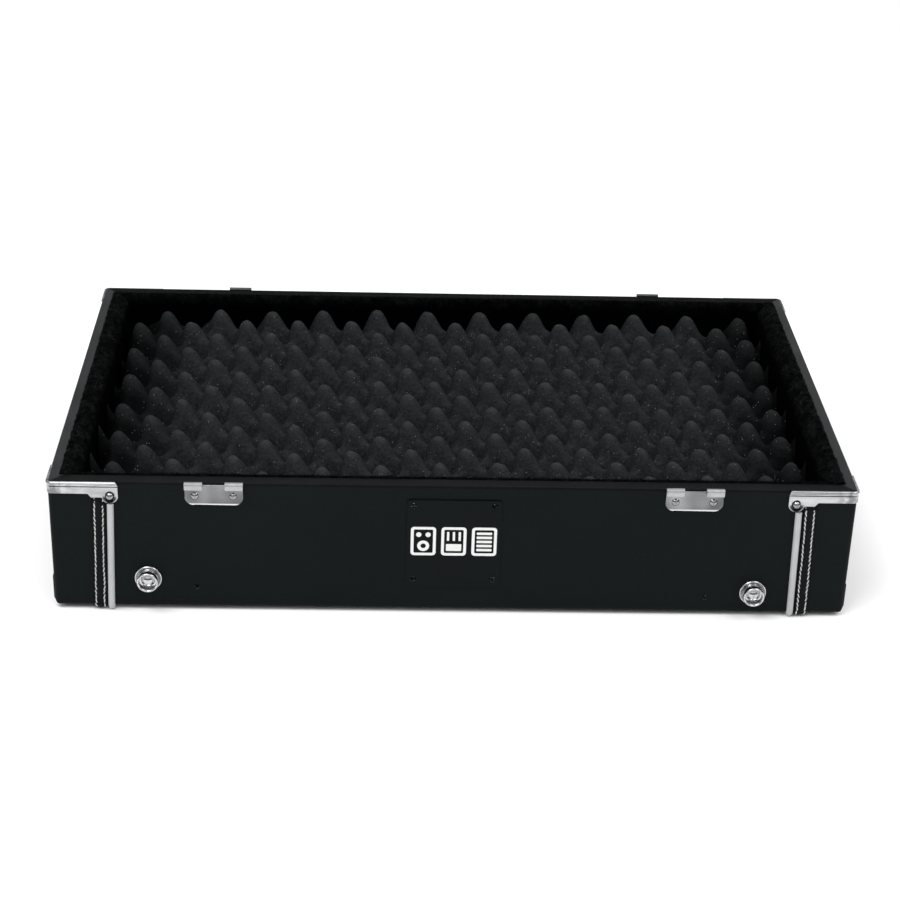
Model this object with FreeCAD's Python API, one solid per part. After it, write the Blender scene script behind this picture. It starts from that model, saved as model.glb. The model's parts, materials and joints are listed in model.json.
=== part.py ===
"""Open base tray of a vinyl-covered plywood case for a pedalboard, with take-apart hinges.

The model is in millimetres, +X along the case, +Y to the rear and +Z up.
The origin is under the middle of the case, on the surface that its pipings stand on.
The front face carries the hinge halves and the feet, the rear face the two draw latches.
"""
import FreeCAD, Part
import math
import os

from FreeCAD import Placement, Rotation, Vector

# ---- driving dimensions ---------------------------------------------------------------
CASE_LENGTH = 690.0        # outside the covering, along X
CASE_DEPTH = 414.0         # outside the covering, along Y
CASE_HEIGHT = 122.0        # flat underside to the top of the rim
CORNER_R = 4.0             # upright corners
END_R = 7.0                # bottom edges of the two ends
EDGE_R = 3.0               # bottom edges of the front and the rear
PIPING_PROUD = 3.5         # how far the pipings stand out of the covering
HARDWARE_PROUD = 10.0      # how far the feet and the latch levers stand out

COVER_T = 0.8              # vinyl covering
PLY_T = 9.0                # walls
FLOOR_T = 6.0              # bottom panel
LINING_T = 4.0             # plush lining of the long walls, to the tips of its pile
LINING_END_T = 14.0        # plush over padding on the end walls
TRIM_T = 2.0               # rim trim
TRIM_W = 13.3
FINGERS = 7                # finger joints up each corner

CLEAT = 15.0               # square glue cleats along the floor
FOAM_FIT = 0.5             # gap between the foam and what it stands in
FOAM_BASE_T = 27.0         # flat foam layer
FOAM_PAD_T = 76.2          # convoluted foam layer, to the tips of its peaks

SEAM_X = 294.7             # where the body cover meets the end covers, under the pipings
# the pipings lean outwards from the caps down to the underside
PIPING_LOW_X = {"left": 295.6, "right": 297.5}
PIPING_TOP_X = {"left": 292.4, "right": 295.2}
PIPING_R = 2.9
BAND_INNER = 3.3           # stitched seam band, from its piping's middle line
BAND_OUTER = 16.0
BAND_T = 0.8
GUARD_X = 315.0
GUARD_H = 27.0             # binding over the bottom edge of each end
GUARD_T = 0.9

CAP_T = 1.0                # corner caps
CAP_BEAD = 1.6             # how far the thicker top of a cap stands out
CAP_BEAD_H = 3.7
CAP_LIP = 0.8              # how far a cap bends over the rim, let in flush
CAP_LIP_T = 0.9
CAP_FRONT_X = 285.7        # inboard end of a cap's long leg, tangent to its lobe
CAP_SIDE = 30.0            # short leg
CAP_BAND_H = 11.3
CAP_STEP_H = 14.9
CAP_LOBE_R = 7.0
CAP_LOBE_X = 292.7
CAP_LOBE_Z = 13.4          # below the rim
CAP_SLOPE_X = (308.3, 311.2)

HINGE_X = 204.6
HINGE_W = 49.5
HINGE_H = 20.0
HINGE_T = 1.5
HINGE_CORNER = 7.5
HINGE_HOOK_W = 15.2
HINGE_HOOK_RISE = 2.0      # above the rim
HINGE_HOOK_OUT = 5.4
HINGE_HOOK_H = 6.4
HINGE_SCREW_X = 16.25
HINGE_SCREW_Z = 11.5       # below the rim

FOOT_X = 263.0
FOOT_Z = {"left": 28.6, "right": 20.9}   # above the flat underside
FOOT_FLANGE_R = 11.9
FOOT_CUP_R = 9.3

PLATE_HALF_X = 40.5
PLATE_LOW = 23.0           # above the flat underside
PLATE_HIGH = 109.0
PLATE_T = 1.2
PLATE_SCREW_X = 34.4
PLATE_SCREW_Z = (31.0, 103.3)

CLEAT_SCREW_X = 221.5
CLEAT_SCREW_Z = {"left": 19.6, "right": 14.4}

LATCH_X = 208.6
LATCH_PLATE_W = 40.0
LATCH_PLATE_Z = (-52.0, -10.0)   # from the rim
LATCH_PLATE_T = 1.2
LATCH_SCREW = (16.4, -14.0, -48.0)
PIVOT_OUT, PIVOT_Z = 5.6, -22.0  # lever pivot, out of the rear face and from the rim
CLAW_OUT, CLAW_Z = 4.6, -29.0    # claw pivot
EAR_IN, EAR_T = 12.6, 1.5
LEVER_HALF_W = 12.1
LEVER_T = 1.5
KNUCKLE_R = 3.4
STUB_R = 1.25
CLAW_PIN_R = 1.2
RUNNING = 0.06             # radial clearance of the moving pivots
CLAW_HALF_W = 9.2
CLAW_HEAD_HALF_W = 11.0
CLAW_RISE = 0.9            # above the rim
CLAW_HOOK = 2.8            # length of its downturned tip

# ---- derived places ---------------------------------------------------------------------
HALF_X = CASE_LENGTH / 2.0
HALF_Y = CASE_DEPTH / 2.0
BASE_Z = PIPING_PROUD
RIM_Z = BASE_Z + CASE_HEIGHT
WALL_TOP = RIM_Z - TRIM_T
FLOOR_TOP = BASE_Z + COVER_T + FLOOR_T
SKIN = COVER_T + PLY_T
PAD_BOTTOM = FLOOR_TOP + FOAM_BASE_T
SIDES = {"left": -1.0, "right": 1.0}
ENDS = {"front": -1.0, "rear": 1.0}


# ---- helpers ------------------------------------------------------------------------------
def box(x0, x1, y0, y1, z0, z1):
    """Box between two corners."""
    return Part.makeBox(x1 - x0, y1 - y0, z1 - z0, Vector(x0, y0, z0))


def rod(radius, start, end):
    """Round rod between two points."""
    a, b = Vector(*start), Vector(*end)
    return Part.makeCylinder(radius, (b - a).Length, a, b - a)


def prism(points, direction):
    """Closed outline of straight edges, pushed along a direction."""
    corners = [Vector(*p) for p in points]
    return Part.Face(Part.makePolygon(corners + corners[:1])).extrude(Vector(*direction))


def rounded_plate(x0, x1, z0, z1, thickness, radii, y=0.0):
    """Upright plate with its back on y, going towards -Y.

    radii are those of the corners low left, low right, high right and high left.
    """
    plate = box(x0, x1, y - thickness, y, z0, z1)
    corners = ((x0, z0), (x1, z0), (x1, z1), (x0, z1))
    for (x, z), radius in zip(corners, radii):
        if radius:
            edges = [e for e in plate.Edges
                     if abs(e.BoundBox.XLength) < 1e-6 and abs(e.BoundBox.ZLength) < 1e-6
                     and abs(e.Vertexes[0].X - x) < 1e-4 and abs(e.Vertexes[0].Z - z) < 1e-4]
            plate = plate.makeFillet(radius, edges)
    return plate


def revolved(outline, axis_point):
    """Turn an outline of (radius, out) points about an axis that points along -Y."""
    cx, cy, cz = axis_point
    points = [Vector(cx + r, cy - out, cz) for r, out in outline]
    face = Part.Face(Part.makePolygon(points + points[:1]))
    return face.revolve(Vector(cx, cy, cz), Vector(0, 1, 0), 360)


def case_block(inset, top, lowest=None):
    """The case's outer form with every outer face moved in by inset."""
    low = BASE_Z + inset if lowest is None else lowest
    x, y = HALF_X - inset, HALF_Y - inset
    plan = box(-x, x, -y, y, low, top)
    upright = [e for e in plan.Edges if e.BoundBox.ZLength > 1.0]
    plan = plan.makeFillet(CORNER_R - inset, upright)
    if lowest is not None:
        return plan
    ends = box(-x, x, -y - 1, y + 1, low, top + 1)
    ends = ends.makeFillet(END_R - inset, bottom_edges(ends, "YLength", low))
    sides = box(-x - 1, x + 1, -y, y, low, top + 1)
    sides = sides.makeFillet(EDGE_R - inset, bottom_edges(sides, "XLength", low))
    return plan.common(ends).common(sides)


def bottom_edges(shape, length_name, low):
    """The two bottom edges of a box that run along one axis."""
    return [e for e in shape.Edges
            if getattr(e.BoundBox, length_name) > 1.0 and e.BoundBox.ZMax < low + 1e-3]


def mirror_y(shape):
    return shape.mirror(Vector(0, 0, 0), Vector(0, 1, 0))


def mirror_x(shape):
    return shape.mirror(Vector(0, 0, 0), Vector(1, 0, 0))


def group(shapes):
    return Part.makeCompound(list(shapes))


def screw(x, z, out, head_r, head_h, shank_r, length, rear=False):
    """Domed cross-head screw in the front face, or in the rear face.

    out is how far its seat stands out of the face.
    """
    ball_r = (head_r ** 2 + head_h ** 2) / (2.0 * head_h)
    seat = Part.makeCylinder(head_r, head_h, Vector(0, 0, 0), Vector(0, 0, 1))
    head = seat.common(Part.makeSphere(ball_r, Vector(0, 0, head_h - ball_r)))
    arm, slot = head_r * 0.42, head_r * 0.12
    depth = head_h * 0.45
    cross = box(-arm, arm, -slot, slot, head_h - depth, head_h + 1)
    cross = cross.fuse(box(-slot, slot, -arm, arm, head_h - depth, head_h + 1))
    shank = Part.makeCylinder(shank_r, length, Vector(0, 0, 0), Vector(0, 0, -1))
    piece = head.cut(cross).fuse(shank).removeSplitter()
    piece.Placement = Placement(Vector(x, -HALF_Y - out, z), Rotation(Vector(1, 0, 0), 90))
    return mirror_y(piece) if rear else piece


def drilled(shape, pieces):
    """Cut away what the pieces fill, such as the holes of the screws' shanks."""
    for piece in pieces:
        if shape.BoundBox.intersect(piece.BoundBox):
            shape = shape.cut(piece)
    return shape


# ---- screws ---------------------------------------------------------------------------------
def make_screws():
    """Every screw, by node."""
    hinge = [screw(side * HINGE_X + k * HINGE_SCREW_X, RIM_Z - HINGE_SCREW_Z, HINGE_T,
                   3.5, 2.2, 1.6, 10.0)
             for side in SIDES.values() for k in (-1, 1)]
    cap = [screw(side * CAP_LOBE_X, RIM_Z - CAP_LOBE_Z, CAP_T, 3.4, 2.2, 1.5, 9.0, end > 0)
           for side in SIDES.values() for end in ENDS.values()]
    foot = [screw(side * FOOT_X, BASE_Z + FOOT_Z[name], 4.6, 6.2, 3.6, 2.2, 13.0)
            for name, side in SIDES.items()]
    plate = [screw(side * PLATE_SCREW_X, BASE_Z + z, PLATE_T, 2.9, 1.5, 1.4, 9.0)
             for side in SIDES.values() for z in PLATE_SCREW_Z]
    cleat = [screw(side * CLEAT_SCREW_X, BASE_Z + CLEAT_SCREW_Z[name], 0.0, 2.7, 1.2, 1.5, 20.0)
             for name, side in SIDES.items()]
    across, high, low = LATCH_SCREW
    latch = [screw(side * LATCH_X + k * across, RIM_Z + z, LATCH_PLATE_T, 2.6, 1.7, 1.5, 9.0, True)
             for side in SIDES.values() for k in (-1, 1) for z in (high, low)]
    return {"hinge_screws": hinge, "corner_cap_screws": cap, "foot_screws": foot,
            "name_plate_screws": plate, "cleat_screws": cleat, "latch_screws": latch}


# ---- woodwork -------------------------------------------------------------------------------
def make_woodwork(screws):
    """Bottom panel, finger-jointed walls and the cleats in the floor's long corners."""
    wood = case_block(COVER_T, WALL_TOP)
    big = CASE_LENGTH
    parts = {"bottom_panel": wood.common(box(-big, big, -big, big, 0, FLOOR_TOP))}
    walls = wood.common(box(-big, big, -big, big, FLOOR_TOP, RIM_Z))
    inner_x, inner_y = HALF_X - SKIN, HALF_Y - SKIN
    finger = (WALL_TOP - FLOOR_TOP) / FINGERS
    cells = {0: [], 1: []}
    for i in range(FINGERS):
        low = FLOOR_TOP + i * finger
        for sx in SIDES.values():
            for sy in ENDS.values():
                x0, x1 = sorted((sx * inner_x, sx * (HALF_X + 1)))
                y0, y1 = sorted((sy * inner_y, sy * (HALF_Y + 1)))
                cells[i % 2].append(box(x0, x1, y0, y1, low, low + finger))
    for name, side in ENDS.items():
        y0, y1 = sorted((side * inner_y, side * big))
        slab = walls.common(box(-big, big, y0, y1, 0, RIM_Z))
        parts[name + "_wall"] = drilled(slab.cut(group(cells[1])), screws)
    for name, side in SIDES.items():
        x0, x1 = sorted((side * inner_x, side * big))
        slab = walls.common(box(x0, x1, -big, big, 0, RIM_Z))
        parts[name + "_wall"] = slab.cut(group(cells[0]))
    for name, side in ENDS.items():
        y0, y1 = sorted((side * inner_y, side * (inner_y - CLEAT)))
        cleat = box(-inner_x, inner_x, y0, y1, FLOOR_TOP, FLOOR_TOP + CLEAT + 2.0)
        parts[name + "_cleat"] = drilled(cleat, screws)
    return parts


# ---- covering and trim ------------------------------------------------------------------------
def make_covering(screws):
    """Body cover between the two seams, and the end covers beyond them."""
    skin = case_block(0.0, WALL_TOP).cut(case_block(COVER_T, WALL_TOP + 1.0))
    big = CASE_LENGTH
    middle = box(-SEAM_X, SEAM_X, -big, big, -1, big)
    parts = {"body_cover": drilled(skin.common(middle), screws)}
    ring = case_block(-BAND_T, WALL_TOP).cut(case_block(0.0, WALL_TOP + 1.0))
    guard = case_block(-GUARD_T, WALL_TOP).cut(case_block(0.0, WALL_TOP + 1.0))
    band_top = RIM_Z - CAP_STEP_H - 0.1
    flat_y = HALF_Y - CORNER_R
    for name, side in SIDES.items():
        x0, x1 = sorted((side * SEAM_X, side * big))
        parts["end_cover_" + name] = skin.common(box(x0, x1, -big, big, -1, big))
        low_x, top_x = PIPING_LOW_X[name], PIPING_TOP_X[name]
        corners = [(low_x + BAND_INNER, 0.0), (low_x + BAND_OUTER, 0.0),
                   (top_x + BAND_OUTER, band_top), (top_x + BAND_INNER, band_top)]
        outline = prism([(side * x, -big, z) for x, z in corners], (0, 2 * big, 0))
        parts["seam_band_" + name] = ring.common(outline)
        x0, x1 = sorted((side * GUARD_X, side * big))
        keep = box(x0, x1, -flat_y, flat_y, -1, BASE_Z + GUARD_H)
        parts["end_guard_" + name] = guard.common(keep)
    return parts


def make_piping(name, side):
    """Half-round bead down the front, under the case and up the rear."""
    x, top_x = side * PIPING_LOW_X[name], side * PIPING_TOP_X[name]
    lift = PIPING_PROUD + 0.3 - PIPING_R     # bead's centre line, out of the faces
    turn = EDGE_R + lift
    y, low = HALF_Y - EDGE_R, BASE_Z + EDGE_R
    top = RIM_Z - CAP_LOBE_Z - CAP_LOBE_R - 0.3
    bead = rod(PIPING_R, (x, -y, low - turn), (x, y, low - turn))
    for end in ENDS.values():
        out = end * (y + turn)
        bead = bead.fuse(rod(PIPING_R, (x, out, low), (top_x, out, top)))
        corner = Part.makeTorus(turn, PIPING_R, Vector(x, end * y, low), Vector(1, 0, 0))
        y0, y1 = sorted((end * y, end * (y + 20.0)))
        bead = bead.fuse(corner.common(box(x - 9, x + 9, y0, y1, low - 20.0, low)))
    bead = bead.cut(case_block(0.0, RIM_Z))
    return bead.cut(box(x - 9, x + 9, -CASE_DEPTH, CASE_DEPTH, -9.0, 0.0)).removeSplitter()


def make_trim():
    """Four flat strips round the rim, mitred at the corners, before the caps are let in."""
    ring = case_block(0.0, RIM_Z, WALL_TOP)
    outer_top = [e for e in ring.Edges if e.BoundBox.ZMin > RIM_Z - 1e-3]
    ring = ring.makeFillet(0.8, outer_top)
    ring = ring.cut(box(-HALF_X + TRIM_W, HALF_X - TRIM_W, -HALF_Y + TRIM_W, HALF_Y - TRIM_W,
                        0, RIM_Z + 1))
    reach = 40.0
    corner = {(sx, sy): (sx * HALF_X, sy * HALF_Y) for sx in (-1, 1) for sy in (-1, 1)}
    inner = {key: (x - key[0] * reach, y - key[1] * reach) for key, (x, y) in corner.items()}
    pairs = {"front": ((-1, -1), (1, -1)), "rear": ((-1, 1), (1, 1)),
             "left": ((-1, -1), (-1, 1)), "right": ((1, -1), (1, 1))}
    parts = {}
    for name, (a, b) in pairs.items():
        outline = [(*p, 0.0) for p in (corner[a], corner[b], inner[b], inner[a])]
        parts["rim_trim_" + name] = ring.common(prism(outline, (0, 0, 2 * RIM_Z)))
    return parts


def make_lining():
    """Plush on the four walls, from the flat foam up to the trim."""
    x, y = HALF_X - SKIN, HALF_Y - SKIN
    parts = {}
    for name, side in ENDS.items():
        y0, y1 = sorted((side * y, side * (y - LINING_T)))
        parts["lining_" + name] = box(-x, x, y0, y1, PAD_BOTTOM, WALL_TOP)
    for name, side in SIDES.items():
        x0, x1 = sorted((side * x, side * (x - LINING_END_T)))
        parts["lining_" + name] = box(x0, x1, -y + LINING_T, y - LINING_T, PAD_BOTTOM, WALL_TOP)
    return parts


def make_foam():
    """Flat layer between the cleats, and the convoluted pad's envelope on top of it."""
    x = HALF_X - SKIN - FOAM_FIT
    y = HALF_Y - SKIN - CLEAT - FOAM_FIT
    base = box(-x, x, -y, y, FLOOR_TOP, PAD_BOTTOM)
    x = HALF_X - SKIN - LINING_END_T - FOAM_FIT
    y = HALF_Y - SKIN - LINING_T - FOAM_FIT
    return {"foam_base": base, "foam_pad": box(-x, x, -y, y, PAD_BOTTOM, PAD_BOTTOM + FOAM_PAD_T)}


# ---- hardware -----------------------------------------------------------------------------------
def cap_outline():
    """Front view of the front right cap's long leg, with its screw lobe."""
    band, step, lobe = RIM_Z - CAP_BAND_H, RIM_Z - CAP_STEP_H, RIM_Z - CAP_LOBE_Z
    front, outer, top = -HALF_Y - 5.0, HALF_X + 5.0, RIM_Z + 3.0
    lobe_out = math.sqrt(CAP_LOBE_R ** 2 - (CAP_STEP_H - CAP_LOBE_Z) ** 2)
    path = [(CAP_FRONT_X, lobe), (CAP_FRONT_X, top), (outer, top), (outer, band),
            (CAP_SLOPE_X[1], band), (CAP_SLOPE_X[0], step), (CAP_LOBE_X + lobe_out, step)]
    points = [Vector(x, front, z) for x, z in path]
    lowest = Vector(CAP_LOBE_X, front, lobe - CAP_LOBE_R)
    edges = [Part.LineSegment(a, b).toShape() for a, b in zip(points, points[1:])]
    edges.append(Part.Arc(points[-1], lowest, points[0]).toShape())
    wire = Part.Wire(Part.__sortEdges__(edges))
    return Part.Face(wire).extrude(Vector(0, CORNER_R + 5.0, 0))


def make_corner_caps(screws):
    """Pressed caps round the rim's corners, bent over the trim, thicker along the top."""
    low = RIM_Z - 30.0
    bead = case_block(-CAP_BEAD, RIM_Z, RIM_Z - CAP_BEAD_H)
    bead = bead.makeFillet(1.4, [e for e in bead.Edges if e.BoundBox.ZMin > RIM_Z - 1e-3])
    shell = bead.fuse(case_block(-CAP_T, RIM_Z - CAP_LIP_T, low))
    shell = shell.cut(case_block(0.0, RIM_Z - CAP_LIP_T, low - 1))
    shell = shell.cut(case_block(CAP_LIP, RIM_Z + 1, low - 1))
    side_leg = box(HALF_X - CORNER_R, HALF_X + 5, -HALF_Y - 5, -HALF_Y + CAP_SIDE,
                   RIM_Z - CAP_BAND_H, RIM_Z + 1)
    cap = shell.common(cap_outline().fuse(side_leg)).removeSplitter()
    parts = {}
    for name, side in SIDES.items():
        for end_name, end in ENDS.items():
            piece = cap if side > 0 else mirror_x(cap)
            piece = piece if end < 0 else mirror_y(piece)
            parts["corner_cap_%s_%s" % (end_name, name)] = drilled(piece, screws)
    return parts


def make_hinge_half(side, screws):
    """Plate with two hooks that the lid's half slips into."""
    x, face = side * HINGE_X, -HALF_Y
    half = HINGE_W / 2.0
    low = RIM_Z - HINGE_H
    plate = rounded_plate(x - half, x + half, low, RIM_Z - 1.0, HINGE_T,
                          (HINGE_CORNER, HINGE_CORNER, 0, 0), face)
    top = RIM_Z + HINGE_HOOK_RISE
    gap = HINGE_HOOK_OUT - 2 * HINGE_T
    for k in (-1, 1):
        x0, x1 = sorted((x + k * half, x + k * (half - HINGE_HOOK_W)))
        hook = box(x0, x1, face - HINGE_HOOK_OUT, face, top - HINGE_HOOK_H, top)
        bend = [e for e in hook.Edges if e.BoundBox.XLength > 1.0 and e.BoundBox.ZMin > top - 1e-3]
        hook = hook.makeFillet(2.0, bend)
        slot = box(x0 - 1, x1 + 1, face - HINGE_T - gap, face - HINGE_T,
                   top - HINGE_HOOK_H - 1, top - HINGE_T)
        plate = plate.fuse(hook.cut(slot))
    return drilled(plate.removeSplitter(), screws)


def make_foot(name, side, screws):
    """Flange ring on the covering and the cup that stands out of it."""
    at = (side * FOOT_X, -HALF_Y, BASE_Z + FOOT_Z[name])
    cup_r, out = FOOT_CUP_R, HARDWARE_PROUD
    cup = [(0, 0), (cup_r, 0), (cup_r, out - 0.8), (cup_r - 0.8, out), (cup_r - 1.4, out),
           (cup_r - 1.9, out - 0.6), (cup_r - 1.9, 4.6), (0, 4.6)]
    flange = [(cup_r, 0), (FOOT_FLANGE_R, 0), (FOOT_FLANGE_R, 1.4), (FOOT_FLANGE_R - 0.6, 2.0),
              (FOOT_FLANGE_R - 1.2, 2.0), (cup_r, 0.3)]
    return {"foot_cup_" + name: drilled(revolved(cup, at), screws),
            "foot_flange_" + name: revolved(flange, at)}


def make_name_plate(screws):
    """Thin blank plate in the middle of the front."""
    plate = rounded_plate(-PLATE_HALF_X, PLATE_HALF_X, BASE_Z + PLATE_LOW, BASE_Z + PLATE_HIGH,
                          PLATE_T, (3.0, 3.0, 3.0, 3.0), -HALF_Y)
    return drilled(plate, screws)


def make_latch(side, screws):
    """Draw latch on the rear face: plate with ears, lever on two stubs, claw on its own pin."""
    cx = side * LATCH_X

    def at(x, out, z):
        return (cx + x, HALF_Y + out, RIM_Z + z)

    def block(x0, x1, out0, out1, z0, z1):
        return box(cx + x0, cx + x1, HALF_Y + out0, HALF_Y + out1, RIM_Z + z0, RIM_Z + z1)

    def across(radius, out, z, x0, x1):
        return rod(radius, at(x0, out, z), at(x1, out, z))

    def sheet(points, x0, x1):
        """Outline of (out, z) points, from x0 to x1."""
        return prism([at(x0, out, z) for out, z in points], (x1 - x0, 0, 0))

    half = LATCH_PLATE_W / 2.0
    z0, z1 = LATCH_PLATE_Z
    plate = rounded_plate(cx - half, cx + half, RIM_Z + z0, RIM_Z + z1, LATCH_PLATE_T,
                          (4.0, 4.0, 4.0, 4.0), HALF_Y + LATCH_PLATE_T)
    ear_out = EAR_IN + EAR_T
    for k in (-1, 1):
        x0, x1 = sorted((k * EAR_IN, k * ear_out))
        ear = across(KNUCKLE_R, PIVOT_OUT, PIVOT_Z, x0, x1)
        ear = ear.fuse(block(x0, x1, 0.0, PIVOT_OUT, PIVOT_Z - KNUCKLE_R, PIVOT_Z + KNUCKLE_R))
        plate = plate.fuse(ear.cut(across(STUB_R, PIVOT_OUT, PIVOT_Z, x0 - 1, x1 + 1)))
    plate = drilled(plate.removeSplitter(), screws)

    stubs = []
    for k in (-1, 1):
        shaft = across(STUB_R, PIVOT_OUT, PIVOT_Z, *sorted((k * (CLAW_HALF_W + 0.8), k * ear_out)))
        head = across(2.2, PIVOT_OUT, PIVOT_Z, *sorted((k * ear_out, k * (ear_out + 0.9))))
        stubs.append(shaft.fuse(head).removeSplitter())

    web_out, lip_out = HARDWARE_PROUD - 1.0, HARDWARE_PROUD
    cheek = [(web_out, -24.5), (web_out, -50.0), (6.6, -50.0), (2.6, -36.0), (2.2, PIVOT_Z)]
    lever = None
    for k in (-1, 1):
        x0, x1 = sorted((k * LEVER_HALF_W, k * (LEVER_HALF_W - LEVER_T)))
        flange = sheet(cheek, x0, x1).fuse(across(KNUCKLE_R, PIVOT_OUT, PIVOT_Z, x0, x1))
        flange = flange.cut(across(STUB_R + RUNNING, PIVOT_OUT, PIVOT_Z, x0 - 1, x1 + 1))
        flange = flange.cut(across(CLAW_PIN_R, CLAW_OUT, CLAW_Z, x0 - 1, x1 + 1))
        lever = flange if lever is None else lever.fuse(flange)
    web = [(web_out, -34.0), (web_out, -49.0), (lip_out, -51.5), (lip_out - 1.2, -52.0),
           (web_out - 1.4, -49.6), (web_out - 1.4, -34.0)]
    lever = lever.fuse(sheet(web, -LEVER_HALF_W, LEVER_HALF_W)).removeSplitter()

    pin = across(CLAW_PIN_R, CLAW_OUT, CLAW_Z, -LEVER_HALF_W, LEVER_HALF_W)

    t = 0.75
    claw = across(2.4, CLAW_OUT, CLAW_Z, -CLAW_HALF_W, CLAW_HALF_W)
    claw = claw.fuse(block(-CLAW_HALF_W, CLAW_HALF_W, CLAW_OUT - t, CLAW_OUT + t, CLAW_Z, -12.0))
    tip = CLAW_RISE - CLAW_HOOK
    hook = [(CLAW_OUT + t, -13.0), (CLAW_OUT + t, CLAW_RISE - 1.0), (CLAW_OUT + t - 1.0, CLAW_RISE),
            (1.8, CLAW_RISE), (1.0, CLAW_RISE - 0.8), (1.0, tip), (2.2, tip),
            (2.2, CLAW_RISE - 1.5), (CLAW_OUT - t, CLAW_RISE - 1.5), (CLAW_OUT - t, -13.0)]
    claw = claw.fuse(sheet(hook, -CLAW_HEAD_HALF_W, CLAW_HEAD_HALF_W))
    bore = across(CLAW_PIN_R + RUNNING, CLAW_OUT, CLAW_Z, -CLAW_HALF_W - 1, CLAW_HALF_W + 1)
    claw = claw.cut(bore).removeSplitter()
    return {"latch_plate": plate, "latch_stubs": group(stubs), "latch_lever": lever,
            "latch_claw_pin": pin, "latch_claw": claw}


# ---- assembly -----------------------------------------------------------------------------------
def make_all():
    screws = make_screws()
    every = [piece for pieces in screws.values() for piece in pieces]
    parts = {node: group(pieces) for node, pieces in screws.items()}
    parts.update(make_woodwork(every))
    parts.update(make_covering(every))
    parts.update(make_trim())
    parts.update(make_lining())
    parts.update(make_foam())
    caps = make_corner_caps(every)
    parts.update(caps)
    for name in ("rim_trim_front", "rim_trim_rear", "rim_trim_left", "rim_trim_right",
                 "seam_band_left", "seam_band_right"):
        parts[name] = drilled(parts[name], caps.values())
    parts["name_plate"] = make_name_plate(every)
    for name, side in SIDES.items():
        parts["piping_" + name] = make_piping(name, side)
        parts["hinge_half_" + name] = make_hinge_half(side, every)
        parts.update(make_foot(name, side, every))
        for piece, shape in make_latch(side, every).items():
            parts[piece + "_" + name] = shape
    return parts


def main():
    os.makedirs("parts", exist_ok=True)
    for node, shape in sorted(make_all().items()):
        shape.exportStep("parts/%s.step" % node)
        print("%-26s %d solid(s) valid %s %9.0f mm3" % (
            node, len(shape.Solids), shape.isValid(), shape.Volume))


main()
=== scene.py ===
"""Looks of the open pedalboard case tray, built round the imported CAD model.

Lengths are in millimetres until a mesh is made, and then in metres.
+X runs along the tray, +Y to the rear and +Z up, with z = 0 under the pipings.
"""

import json
import math
import random

import bmesh
import bpy
import numpy as np
from mathutils import Matrix, Vector, noise

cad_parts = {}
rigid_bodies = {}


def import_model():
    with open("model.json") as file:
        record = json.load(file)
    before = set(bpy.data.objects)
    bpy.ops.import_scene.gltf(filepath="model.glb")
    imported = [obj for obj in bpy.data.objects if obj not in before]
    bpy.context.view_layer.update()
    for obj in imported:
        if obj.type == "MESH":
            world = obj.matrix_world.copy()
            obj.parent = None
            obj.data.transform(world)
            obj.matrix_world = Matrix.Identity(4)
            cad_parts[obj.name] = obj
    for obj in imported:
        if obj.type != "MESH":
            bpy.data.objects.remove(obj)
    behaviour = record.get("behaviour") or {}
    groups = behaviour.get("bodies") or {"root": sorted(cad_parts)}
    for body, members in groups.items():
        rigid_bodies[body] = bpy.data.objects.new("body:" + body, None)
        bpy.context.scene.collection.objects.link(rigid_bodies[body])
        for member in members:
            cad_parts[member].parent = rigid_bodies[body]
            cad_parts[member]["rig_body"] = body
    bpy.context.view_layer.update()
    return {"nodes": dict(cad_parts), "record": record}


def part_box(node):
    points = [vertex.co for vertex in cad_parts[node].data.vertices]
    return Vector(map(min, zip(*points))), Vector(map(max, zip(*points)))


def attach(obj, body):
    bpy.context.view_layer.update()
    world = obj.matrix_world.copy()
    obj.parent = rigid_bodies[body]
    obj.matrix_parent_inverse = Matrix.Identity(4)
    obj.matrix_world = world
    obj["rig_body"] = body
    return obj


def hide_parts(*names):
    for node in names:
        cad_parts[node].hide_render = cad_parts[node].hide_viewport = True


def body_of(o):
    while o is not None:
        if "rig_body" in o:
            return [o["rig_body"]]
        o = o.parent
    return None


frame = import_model()
NODES = frame["nodes"]
MM = 0.001
random.seed(11)

# ---- sizes taken from the CAD model ----


def box_mm(node):
    """Lowest and highest corner of a CAD node, in millimetres."""
    low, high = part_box(node)
    return low / MM, high / MM


PAD_LOW, PAD_HIGH = box_mm("foam_pad")
RIM = box_mm("rim_trim_front")[1].z
BASE = box_mm("bottom_panel")[0].z - 0.8
FACE = -box_mm("rim_trim_front")[0].y
HINGE_LOW, HINGE_HIGH = (corner.z for corner in box_mm("hinge_half_left"))
PLATE_LOW = box_mm("name_plate")[0]
WALL_IN_X = box_mm("right_wall")[0].x
WALL_IN_Y = box_mm("rear_wall")[0].y
CAP_HALF = (-box_mm("rim_trim_left")[0].x, FACE)
LOBE = (292.7, RIM - 13.4, 7.0)  # middle and radius of a corner cap's screw lobe


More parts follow.
